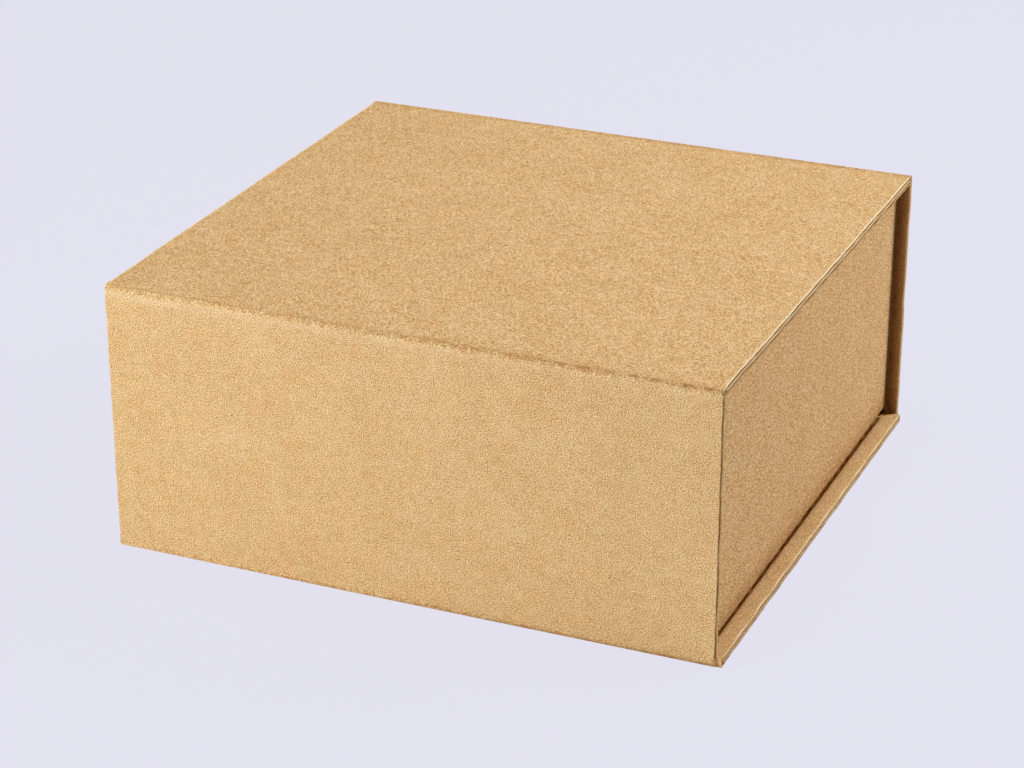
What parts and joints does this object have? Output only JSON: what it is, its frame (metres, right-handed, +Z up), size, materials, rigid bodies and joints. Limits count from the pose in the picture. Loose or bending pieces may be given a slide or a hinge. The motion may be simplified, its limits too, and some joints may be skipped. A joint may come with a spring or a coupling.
{
  "type": "closed cardboard box",
  "caption": "Closed square presentation box in brown paper: a hinged lid and front flap fold round a recessed tray, and magnets hold the flap shut.",
  "frame": {"origin": "centre of the closed box's outline on the surface it stands on", "axes": "+X along the spine and the fold of the lid, +Y from the spine to the flap, +Z up"},
  "size_m": [0.224, 0.21, 0.098],
  "materials": {
    "kraft_paper": "matt brown paper over board",
    "kraft_fold": "matt brown paper",
    "kraft_tray": "matt brown paper over board",
    "magnet": "nickel plate",
    "steel": "bare steel"
  },
  "bodies": {
    "tray_and_base": {"base_panel": "kraft_paper", "spine_panel": "kraft_paper", "base_spine_fold": "kraft_fold", "tray": "kraft_tray", "tray_plates": "steel"},
    "lid": {"lid_panel": "kraft_paper", "spine_lid_fold": "kraft_fold"},
    "flap": {"flap_panel": "kraft_paper", "lid_flap_fold": "kraft_fold", "flap_magnets": "magnet"}
  },
  "joints": [
    {"name": "lid_fold", "type": "hinge", "parent": "tray_and_base", "child": "lid", "pos_m": [0, -0.1047, 0.0977], "axis": [1, 0, 0], "range_deg": [0, 180], "deforming": ["spine_lid_fold"]},
    {"name": "flap_fold", "type": "hinge", "parent": "lid", "child": "flap", "pos_m": [0, 0.1047, 0.0977], "axis": [1, 0, 0], "range_deg": [0, 180], "deforming": ["lid_flap_fold"]}
  ]
}
